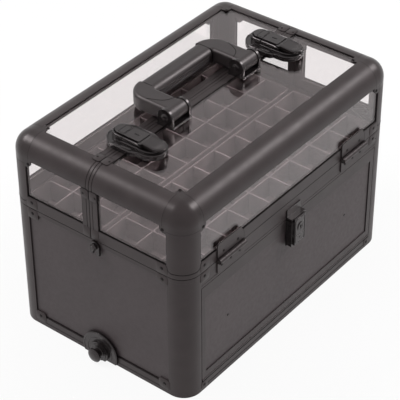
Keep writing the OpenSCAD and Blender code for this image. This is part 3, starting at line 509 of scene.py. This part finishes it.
def draw_lid_lines(bm, side, split):
    """Shadow lines of the ears, and of the ring that runs round each post's foot."""
    ear_mid = (RING_LOW + CHANNEL_TOP) / 2
    near_split = split + side * 5.2
    for _, end in ENDS:
        outline_plate(bm, on_end(end, near_split, 219), 10.4, 12, 0.3, 2.6)
        outline_plate(bm, on_top(end * 160.4, near_split), 12, 10.4, 0.3, 2.6)
        shadow_ring(bm, on_side(side, end * 154.6, ear_mid + 0.9, PLATE_OUT))
        shadow_ring(bm, on_end(end, side * 89.2, ear_mid + 0.9, PLATE_OUT))
        foot = RING_LOW + 5.7
        plan = section()
        run = [(25.0, 0.0, 7.6), (24.4, 0.0, 5.0), (23.4, 0.0, 2.8), (22.4, 0.0, 1.2)]
        run += [(w, d, 0.0) for w, d in plan[2:-2]]
        run += [(0.0, w, lift) for w, _, lift in reversed(run[:4])]
        path = [(end * (HALF_L - w), side * (HALF_W - d), foot + lift) for w, d, lift in run]
        bar(bm, path, 0.42, 0.25, axis=(0, 0, 1))


def draw_hinge_lines(bm, side):
    """Shadow line round the free edge of each upper hinge leaf and along its barrel."""
    y = side * (HALF_W + 1.2)
    for x in (-HINGE_X, HINGE_X):
        half = HINGE_L / 2
        edge = [(-half, 167.2), (-half, 181.9), (-half + 1.25, 184.4),
                (half - 5.0, 184.4), (half, 174.4), (half, 167.2)]
        bar(bm, [(x + dx, y, z) for dx, z in edge], 0.3, 0.3, normal=(0, side, 0))
        barrel_y = side * (HALF_W + LEAF_OUT)
        bar(bm, [(x - half, barrel_y, 166.3), (x + half, barrel_y, 166.3)], 0.55, 0.3, normal=(0, side, 0))


def draw_body_lines(bm):
    """Seal in the gap under the lid and shadow lines of the body's rivets and base."""
    ring = rounded((-HALF_L + 0.5, -HALF_W + 0.5), (HALF_L - 0.5, HALF_W - 0.5), EDGE_R - 0.5)
    bar(bm, [(x, y, BODY_TOP + 0.22) for x, y in ring], 0.26, 0.5, axis=(0, 0, 1), closed=True)
    for place in body_rivets():
        shadow_ring(bm, place)
    x_in = HALF_L - FRAME_W
    for z in (5.2, 12.3):
        bar(bm, [(-x_in, -HALF_W - 0.02, z), (x_in, -HALF_W - 0.02, z)], 0.4, 0.2, normal=(0, -1, 0))
    for _, end in ENDS:
        face = end * (HALF_L + 0.02)
        for z, wide in ((13.2, 0.35), (5.2, 0.3)):
            bar(bm, [(face, -95, z), (face, 95, z)], wide, 0.2, normal=(end, 0, 0))


def draw_split_seal(bm):
    """Seal on the front half's closing frame, in the gap between the halves."""
    left = arc((-HALF_L + EDGE_R, TOP - EDGE_R), EDGE_R - 0.5, 180, 90, 10)
    right = arc((HALF_L - EDGE_R, TOP - EDGE_R), EDGE_R - 0.5, 90, 0, 10)
    path = [(-HALF_L + 0.5, RING_LOW + 0.3)] + left + right + [(HALF_L - 0.5, RING_LOW + 0.3)]
    bar(bm, [(x, SPLIT_FRONT + 0.2, z) for x, z in path], 0.26, 0.5, axis=(0, 1, 0))


SILL_MID = 6.9
SILL_EAR_X = 155.5
BASE_MID = 11.6
SMALL_HEAD = ((0.9, -0.2), (0.9, 0.1), (0.5, 0.35), (0.0, 0.4))


def body_rivets():
    """Places of the rivets in the body's corner plates."""
    places = []
    for _, side, _, _ in HALVES:
        for _, end in ENDS:
            places += [on_side(side, end * 154.4, BODY_TOP - 5.8, PLATE_OUT),
                       on_end(end, side * 89.4, BODY_TOP - 5.8, PLATE_OUT),
                       on_side(side, end * SILL_EAR_X, SILL_MID, PLATE_OUT),
                       on_end(end, side * 89.4, BASE_MID + 0.6, PLATE_OUT)]
    return places


def draw_body_ears(bm):
    """Corner plates of the body's top ring, sill and base rails."""
    ring_mid = BODY_TOP - 6.4
    for _, side, _, _ in HALVES:
        for _, end in ENDS:
            plate(bm, on_side(side, end * EAR_X, ring_mid), 15, 12.2, 0.4, 3, 1.45)
            plate(bm, on_end(end, side * EAR_Y, ring_mid), 15, 12.2, 0.4, 3, 1.45)
            plate(bm, on_side(side, end * SILL_EAR_X, SILL_MID), 11, 9.6, 0.4, 2.6, 0.4)
            plate(bm, on_end(end, side * EAR_Y, BASE_MID), 15, 13.0, 0.4, 3, 1.45)


def draw_body_rivets(bm):
    for place in body_rivets():
        rivet(bm, place, 1.5)
    for _, side, _, _ in HALVES:
        for _, end in ENDS:
            turned(bm, on_side(side, end * 160.6, BODY_TOP - 9.0, 0.3), SMALL_HEAD, 10)


def draw_gaskets(bm, side, split):
    """Black sealing beads round the clear panels; the heavier beads along their lower edges are partly
    painted shadow under the panels' bottom edges.
    """
    x_in = HALF_L - FRAME_W
    y_in = HALF_W - FRAME_W
    low = CHANNEL_TOP + 0.4
    high = TOP - FRAME_W
    inner = split + side * 10.2
    glass = HALF_W - LIP
    window = rounded((-x_in, low), (x_in, high), 1.2)
    bar(bm, [(x, side * glass, z) for x, z in window], 0.5, 0.55, normal=(0, side, 0), closed=True)
    # heavy lower bead: sealing strip and painted shadow under the panel's bottom edge
    sill = side * (glass + 0.2)
    bar(bm, [(-x_in, sill, low), (x_in, sill, low)], 0.95, 0.7, normal=(0, side, 0))
    y0, y1 = sorted((inner, side * y_in))
    pane = rounded((y0, low), (y1, high), 1.2)
    for _, end in ENDS:
        face = end * (HALF_L - LIP)
        bar(bm, [(face, y, z) for y, z in pane], 0.5, 0.55, normal=(end, 0, 0), closed=True)
        # heavy lower bead: sealing strip and painted shadow under the end panel's bottom edge
        bar(bm, [(face + end * 0.2, y0, low), (face + end * 0.2, y1, low)], 0.95, 0.7, normal=(end, 0, 0))
    top = rounded((-x_in, y0), (x_in, y1), 1.2)
    bar(bm, [(x, y, TOP - LIP) for x, y in top], 0.5, 0.5, normal=(0, 0, 1), closed=True)


def draw_panel_gaskets(bm):
    """Dark edge beads round the body's panels."""
    y_in = HALF_W - FRAME_W
    x_in = HALF_L - FRAME_W
    low = 13.9
    for _, end in ENDS:
        face = end * (HALF_L - LIP)
        pane = rounded((-y_in, low), (y_in, POST_TOP - 0.3), 1.0)
        bar(bm, [(face, y, z) for y, z in pane], 0.45, 0.4, normal=(end, 0, 0), closed=True)
    back = rounded((-x_in, low), (x_in, POST_TOP - 0.3), 1.0)
    bar(bm, [(x, HALF_W - LIP, z) for x, z in back], 0.45, 0.4, normal=(0, 1, 0), closed=True)


# ---------- hinges, studs, knobs ----------

HINGE_X = 112.0
HINGE_L = 44.8
LEAF_OUT = 1.4
KNOB_Z = 11
KNOB_BOSS = ((10.6, -0.2), (10.6, 0.5), (9.6, 0.7), (9.0, 0.2), (6.8, 0.2), (6.2, 0.8), (5.0, 0.8))
KNOB_DOME = ((6.2, -0.3), (5.6, 0.2), (3.2, 0.55), (0.0, 0.65))


def draw_lid_hinge_rivets(bm, side):
    for x in (-HINGE_X, HINGE_X):
        for dx in (-12, 12):
            rivet(bm, on_side(side, x + dx, 171.4, LEAF_OUT), 1.6)


def draw_body_hinge_rivets(bm):
    for _, side, _, _ in HALVES:
        for x in (-HINGE_X, HINGE_X):
            for dx in (-15, 0, 15):
                rivet(bm, on_side(side, x + dx, 154.4, LEAF_OUT), 1.6)


def draw_knob_rims(bm):
    """Raised rims of the stacking knobs' plates and bosses, and a dome on each head."""
    for _, end in ENDS:
        for r, out, wide in ((22.7, 2.4, 0.7), (17.0, 2.4, 0.45)):
            low = math.degrees(math.asin(-8.6 / r)) if r > 8.6 else -90
            rim = [(end * (HALF_L + out), y, KNOB_Z + z) for y, z in arc((0, 0), r, low, 180 - low, 32)]
            bar(bm, rim, wide, 0.45, normal=(end, 0, 0))
        turned(bm, on_end(end, 0, KNOB_Z, 5.0), KNOB_BOSS, 32)
        turned(bm, on_end(end, 0, KNOB_Z, 14.0), KNOB_DOME, 24)


def draw_stud_slots(bm):
    """Cross slot in the strap studs' heads, as a sunk dark cross on a low rim."""
    for _, end in ENDS:
        place = on_end(end, 0, 156.4, 6.4)
        turned(bm, place, ((3.0, -0.2), (2.8, 0.15), (2.5, 0.2), (2.35, 0.02)), 20)
        plate(bm, place, 3.8, 0.9, 0.1, 0.3)
        plate(bm, place, 0.9, 3.8, 0.1, 0.3)


# ---------- top latches ----------

LATCH_X = 119.5
BASE_OUT = 5.0
COVER_OUT = 13.2
NOSE_Y = -24.4
KEEP_Y = 9.4
TAB_Y = -17.4
TAB_TIP = -31.9
TAB_FALL = math.tan(math.radians(5))


def at(x0, points, z):
    return [(x0 + x, y, z) for x, y in points]


def draw_latch_front(bm):
    """Rim of the latch bases and the bail bars beside their covers."""
    base_z = TOP + BASE_OUT
    for x0 in (-LATCH_X, LATCH_X):
        nose = arc((0, NOSE_Y), 16.1, 0, -180, 18)
        rim = [(20.1, SPLIT_FRONT - 0.3), (20.1, -11), (18.8, -15.4), (16.1, -18.4)] + nose
        rim += [(-16.1, -18.4), (-18.8, -15.4), (-20.1, -11), (-20.1, SPLIT_FRONT - 0.3)]
        bar(bm, at(x0, rim, base_z), 0.95, 1.0, normal=(0, 0, 1))
        step = [(12.9, SPLIT_FRONT - 0.3), (12.9, -14)] + arc((0, NOSE_Y), 12.6, 0, -180, 16)
        step += [(-12.9, -14), (-12.9, SPLIT_FRONT - 0.3)]
        bar(bm, at(x0, step, base_z + 2.0), 0.8, 0.9, normal=(0, 0, 1))
        for sx in (-1, 1):
            bail = [(sx * 10.1, SPLIT_FRONT - 0.2), (sx * 10.1, -10), (sx * 10.5, -13.6), (sx * 11.3, -16.2)]
            bar(bm, at(x0, bail, TOP + 10.4), 1.15, 1.15, normal=(0, 0, 1))
            plate(bm, on_top(x0 + sx * 16.4, -4.2, BASE_OUT), 4.2, 13, 1.1, 1.8)
            turned(bm, on_top(x0 + sx * 16.4, -18.6, BASE_OUT), PAN_HEAD, 12)


def draw_latch_back(bm):
    base_z = TOP + BASE_OUT
    for x0 in (-LATCH_X, LATCH_X):
        rim = [(20.1, SPLIT_BACK + 0.3)] + arc((0, KEEP_Y), 20.1, 0, 180, 22) + [(-20.1, SPLIT_BACK + 0.3)]
        bar(bm, at(x0, rim, base_z), 0.95, 1.0, normal=(0, 0, 1))
        bail = [(10.1, SPLIT_BACK + 0.2)] + arc((0, 13.9), 10.1, 0, 180, 16) + [(-10.1, SPLIT_BACK + 0.2)]
        bar(bm, at(x0, bail, TOP + 10.4), 1.15, 1.15, normal=(0, 0, 1))
        for sx in (-1, 1):
            turned(bm, on_top(x0 + sx * 15.6, 13.6, BASE_OUT), PAN_HEAD, 12)


def draw_cover_lines(bm, y0, y1, x0):
    """Fine border line on a latch cover's top."""
    wide = 7.2
    outline = rounded((-wide, y0), (wide, y1), 1.2)
    bar(bm, at(x0, outline, TOP + COVER_OUT), 0.3, 0.16, normal=(0, 0, 1), closed=True)


def tab_face(y):
    """Height of a latch tab's sloped top face."""
    return TOP + COVER_OUT - (TAB_Y - y) * TAB_FALL


def draw_tab(bm, x0):
    """Border bead and finger ridge of a latch tab."""
    flat = [(8.0, TAB_Y - 1.6)] + arc((0, TAB_TIP), 8.0, 0, -180, 18) + [(-8.0, TAB_Y - 1.6)]
    line = [(x0 + x, y, tab_face(y)) for x, y in flat]
    bar(bm, line, 0.4, 0.35, normal=(0, 0, 1), closed=True)
    for y in (-33.6, -35.4, -37.2):
        reach = math.sqrt(max(0.0, 7.0 ** 2 - (y - TAB_TIP) ** 2))
        ridge = [(x0 - reach, y, tab_face(y)), (x0 + reach, y, tab_face(y))]
        bar(bm, ridge, 0.35, 0.3, normal=(0, 0, 1))


# ---------- handle and its brackets ----------

PIVOT_Y = -7.0
PIVOT_Z = 262.0
CHEEK_R = 9.3
CHEEK_LOW = 252.6


def draw_grip_seams(bm):
    """Moulding joints round the grip's ends and a curved one over each arm."""
    grip = rounded((27.5, 251.6), (52.0, 271.0), 8.0)
    for sx in (-1, 1):
        bar(bm, [(sx * 48.6, y, z) for y, z in grip], 0.4, 0.22, axis=(1, 0, 0), closed=True)
        curve = [(70.8, 22.6), (68.6, 17.8), (66.4, 12.6), (63.8, 7.8), (60.0, 4.0), (55.6, 1.8), (51.2, 0.6)]
        bar(bm, [(sx * x, y, 271.0) for x, y in curve], 0.38, 0.2, normal=(0, 0, 1))


def draw_grip_pad(bm):
    """Soft ridge along the middle of the grip's inner face."""
    for z in (258.2, 261.0, 263.8):
        bar(bm, [(-42, 27.5, z), (42, 27.5, z)], 0.55, 0.35, normal=(0, -1, 0))


def draw_bracket_trim(bm):
    """Rims of the bracket cheeks, their front lip and domed pin heads."""
    for sx in (-1, 1):
        for x, out in ((76.9, 1), (45.6, -1)):
            arch = [(sx * x, PIVOT_Y - CHEEK_R, CHEEK_LOW)]
            arch += [(sx * x, PIVOT_Y + y, PIVOT_Z + z) for y, z in arc((0, 0), CHEEK_R, 180, 0, 18)]
            arch.append((sx * x, PIVOT_Y + CHEEK_R, CHEEK_LOW))
            bar(bm, arch, 0.6, 0.35, normal=(sx * out, 0, 0))
            head = facing((sx * out, 0, 0), (sx * x, PIVOT_Y, PIVOT_Z))
            turned(bm, head, ((4.4, -0.2), (4.3, 0.6), (3.4, 1.2), (1.4, 1.5), (1.2, 1.1), (0.0, 1.1)), 24)
        bar(bm, [(sx * 76.4, -17.6, 251.7), (sx * 46.1, -17.6, 251.7)], 0.7, 0.9, normal=(0, 0, 1))
        for x in (70.6, 52.0):
            turned(bm, facing((0, 0, 1), (sx * x, 1.6, 252.4), up=(0, 1, 0)), FLAT_HEAD, 12)


# ---------- door ----------

def draw_door_rivets(bm):
    for x, z in ((-113.0, 75.4), (106.0, 76.1)):
        turned(bm, on_side(-1, x, z, -1.2), ((1.5, -0.2), (1.45, 0.2), (0.9, 0.42), (0.0, 0.45)), 16)


def draw_lever(bm):
    """Raised border, keyhole ring and lines on the door latch's lever."""
    face = 130.4 - HALF_W
    border = rounded((-8.3, 111.2), (8.3, 142.9), 2.6)
    bar(bm, [(x, -130.4, z) for x, z in border], 0.75, 0.55, normal=(0, -1, 0), closed=True)
    ring = arc((0, 131.5), 4.2, 0, 360, 24)[:-1]
    bar(bm, [(x, -131.0, z) for x, z in ring], 0.5, 0.3, normal=(0, -1, 0), closed=True)
    bar(bm, [(-7.2, -130.4, 121.0), (7.2, -130.4, 121.0)], 0.5, 0.4, normal=(0, -1, 0))
    turned(bm, on_side(-1, 0, 116.4, face), ((1.3, -0.2), (1.2, 0.3), (0.0, 0.5)), 12)


def draw_latch_base(bm):
    """Ribs on the door latch's cheeks."""
    for sx in (-1, 1):
        for i in range(6):
            z = 114.0 + i * 4.4
            bar(bm, [(sx * 12.5, -121.4, z), (sx * 12.5, -127.4, z)], 0.7, 0.45, normal=(sx, 0, 0))


def draw_door_bead(bm):
    """Dark bead between the door's frame and its panel."""
    outline = rounded((-152.7, 21.2), (152.7, 125.8), 0.8)
    bar(bm, [(x, -118.8, z) for x, z in outline], 0.5, 0.45, normal=(0, -1, 0), closed=True)


def draw_band_stitches(bm):
    """Stitches that hold the elastic band between its loops."""
    pitch = 20.0
    y = -120 + 1.2 + 3 + 0.1 + 1.4
    for i in range(12):
        x = -110 + i * pitch
        for k in range(7):
            z = 65.4 + k * 3.4
            bar(bm, [(x, y, z), (x, y, z + 2.2)], 0.4, 0.35, normal=(0, 1, 0), steps=6)


# ---------- trays ----------

def draw_tray_rim(bm, side, split_gap):
    """Rolled bead on a tray's rim, with the tray's own corners."""
    y0 = side * (HALF_W - 8.5)
    y1 = split_gap
    low, high = sorted((y0, y1))
    far = 172.5 - 1.0
    if side < 0:
        outer = arc((-far + 11, low + 12), 11, 180, 270, 8) + arc((far - 11, low + 12), 11, 270, 360, 8)
        inner = arc((far - 3, high - 4), 3, 0, 90, 5) + arc((-far + 3, high - 4), 3, 90, 180, 5)
    else:
        outer = arc((far - 11, high - 12), 11, 0, 90, 8) + arc((-far + 11, high - 12), 11, 90, 180, 8)
        inner = arc((-far + 3, low + 4), 3, 180, 270, 5) + arc((far - 3, low + 4), 3, 270, 360, 5)
    outline = outer + inner
    bar(bm, [(x, y, 162.0) for x, y in outline], 0.95, 0.25, normal=(0, 0, 1), closed=True)


def build_details():
    for half, side, body, split in HALVES:
        piece(f"{half}_casting_seams", body, "corner_black",
              lambda bm: draw_casting_seams(bm, side), "seam_soft")
        piece(f"{half}_casting_rivets", body, "steel",
              lambda bm: draw_lid_rivets(bm, side, split), "dark_rivet")
        piece(f"{half}_lid_ears", body, "frame_black", lambda bm: draw_lid_ears(bm, side, split), "ear_black")
        piece(f"{half}_gaskets", body, "hardware_black",
              lambda bm: draw_gaskets(bm, side, split), "seam_and_shadow_black")
        piece(f"{half}_lid_lines", body, "hardware_black",
              lambda bm: draw_lid_lines(bm, side, split), "seam_and_shadow_black")
        piece(f"{half}_hinge_lines", body, "hardware_black",
              lambda bm: draw_hinge_lines(bm, side), "seam_and_shadow_black")
        piece(f"{half}_hinge_rivets", body, "steel", lambda bm: draw_lid_hinge_rivets(bm, side), "dark_rivet")
    piece("split_seal", "front_lid", "hardware_black", draw_split_seal, "seam_and_shadow_black")
    piece("body_lines", "case_body", "hardware_black", draw_body_lines, "seam_and_shadow_black")
    piece("body_ears", "case_body", "frame_black", draw_body_ears, "ear_black")
    piece("body_rivets", "case_body", "steel", draw_body_rivets, "dark_rivet")
    piece("panel_gaskets", "case_body", "hardware_black", draw_panel_gaskets, "seam_and_shadow_black")
    piece("body_hinge_rivets", "case_body", "steel", draw_body_hinge_rivets, "dark_rivet")
    piece("knob_rims", "case_body", "hardware_black", draw_knob_rims)
    piece("stud_heads", "case_body", "hardware_black", draw_stud_slots)
    piece("latch_rims_front", "front_lid", "hardware_black", draw_latch_front)
    piece("latch_rims_back", "back_lid", "hardware_black", draw_latch_back)
    for name, end in ENDS:
        piece(f"{name}_tab_bead", f"{name}_latch_tab", "hardware_black",
              lambda bm: draw_tab(bm, end * LATCH_X))
        piece(f"{name}_cover_line", "back_lid", "hardware_black",
              lambda bm: draw_cover_lines(bm, SPLIT_BACK + 0.8, 14.6, end * LATCH_X), "seam_and_shadow_black")
    piece("grip_seams", "handle", "handle_plastic", draw_grip_seams, "seam_and_shadow_black")
    piece("grip_ridges", "handle", "handle_plastic", draw_grip_pad)
    piece("bracket_trim", "front_lid", "hardware_black", draw_bracket_trim)
    piece("door_rivets", "front_door", "steel", draw_door_rivets, "dark_rivet")
    piece("door_bead", "front_door", "hardware_black", draw_door_bead, "seam_and_shadow_black")
    piece("latch_ribs", "front_door", "hardware_black", draw_latch_base)
    piece("lever_border", "door_latch_lever", "hardware_black", draw_lever)
    piece("band_stitches", "front_door", "band_fabric", draw_band_stitches)
    piece("front_tray_rim", "front_tray", "tray_plastic", lambda bm: draw_tray_rim(bm, -1, 3.5), "tray_edge")
    piece("back_tray_rim", "back_tray", "tray_plastic", lambda bm: draw_tray_rim(bm, 1, 8.5), "tray_edge")


# ---------- stage ----------

def seen_rays(nodes, links):
    """1 for camera, glossy and transmission rays, and 0 for the rest."""
    path = nodes.new("ShaderNodeLightPath")
    seen = path.outputs["Is Camera Ray"]
    for ray in ("Is Glossy Ray", "Is Transmission Ray"):
        add = nodes.new("ShaderNodeMath")
        add.operation = "ADD"
        add.use_clamp = True
        links.new(seen, add.inputs[0])
        links.new(path.outputs[ray], add.inputs[1])
        seen = add.outputs[0]
    return seen


def studio_white(name, base):
    """White that the camera, gloss and glass see lit evenly; the object's shadow stays on it."""
    paint = Paint(name)
    paint.tint(paint.noise(3, 2), base, base)
    paint.rough(paint.noise(20, 2), 0.85, 0.95)
    part = paint.nodes.new("ShaderNodeMath")
    part.operation = "MULTIPLY"
    part.inputs[1].default_value = 0.9
    paint.links.new(seen_rays(paint.nodes, paint.links), part.inputs[0])
    glow = paint.nodes.new("ShaderNodeEmission")
    mix = paint.nodes.new("ShaderNodeMixShader")
    paint.links.new(part.outputs[0], mix.inputs["Fac"])
    paint.links.new(paint.shader.outputs["BSDF"], mix.inputs[1])
    paint.links.new(glow.outputs["Emission"], mix.inputs[2])
    paint.links.new(mix.outputs["Shader"], paint.output.inputs["Surface"])
    return paint.material


def build_floor():
    bm = bmesh.new()
    bmesh.ops.create_grid(bm, x_segments=8, y_segments=8, size=6.0)
    mesh = bpy.data.meshes.new("floor")
    bm.to_mesh(mesh)
    bm.free()
    floor = bpy.data.objects.new("floor", mesh)
    bpy.context.scene.collection.objects.link(floor)
    floor.data.materials.append(studio_white("floor_white", (0.95, 0.95, 0.95)))


def build_world():
    """White sky for camera, gloss and glass; a plain level for the light itself."""
    world = bpy.data.worlds.new("studio")
    world.use_nodes = True
    bpy.context.scene.world = world
    nodes = world.node_tree.nodes
    links = world.node_tree.links
    light = nodes["Background"]
    light.inputs["Strength"].default_value = 0.42
    white = nodes.new("ShaderNodeBackground")
    white.inputs["Color"].default_value = (1, 1, 1, 1)
    light.inputs["Color"].default_value = (1, 1, 1, 1)
    mix = nodes.new("ShaderNodeMixShader")
    links.new(seen_rays(nodes, links), mix.inputs["Fac"])
    links.new(light.outputs["Background"], mix.inputs[1])
    links.new(white.outputs["Background"], mix.inputs[2])
    links.new(mix.outputs["Shader"], nodes["World Output"].inputs["Surface"])


def lamp(name, place, target, size, watts):
    data = bpy.data.lights.new(name, "AREA")
    data.shape = "SQUARE"
    data.size = size
    data.energy = watts
    thing = bpy.data.objects.new(name, data)
    thing.location = place
    thing.rotation_mode = "QUATERNION"
    thing.rotation_quaternion = (Vector(target) - Vector(place)).to_track_quat("-Z", "Y")
    bpy.context.scene.collection.objects.link(thing)


def build_lights():
    centre = (0, 0, 0.12)
    lamp("left", (-0.80, 1.45, 1.62), centre, 0.8, 26)
    lamp("right", (1.35, -0.98, 1.58), centre, 0.8, 26)


CAMERA_PLACE = (-1.16589, -0.91701, 1.22268)
CAMERA_TURN = -51.576
CAMERA_TILT = 53.022
CAMERA_ROLL = -0.351
CAMERA_LENS = 147.88


def build_camera():
    data = bpy.data.cameras.new("camera")
    data.lens = CAMERA_LENS
    data.clip_end = 30
    camera = bpy.data.objects.new("camera", data)
    turn = Matrix.Rotation(math.radians(CAMERA_TURN), 4, "Z")
    tilt = Matrix.Rotation(math.radians(CAMERA_TILT), 4, "X")
    roll = Matrix.Rotation(math.radians(CAMERA_ROLL), 4, "Z")
    camera.matrix_world = Matrix.Translation(CAMERA_PLACE) @ turn @ tilt @ roll
    bpy.context.scene.collection.objects.link(camera)
    bpy.context.scene.camera = camera


bpy.context.scene.view_settings.view_transform = "Standard"
dress_frame()
build_details()
build_floor()
build_world()
build_lights()
build_camera()
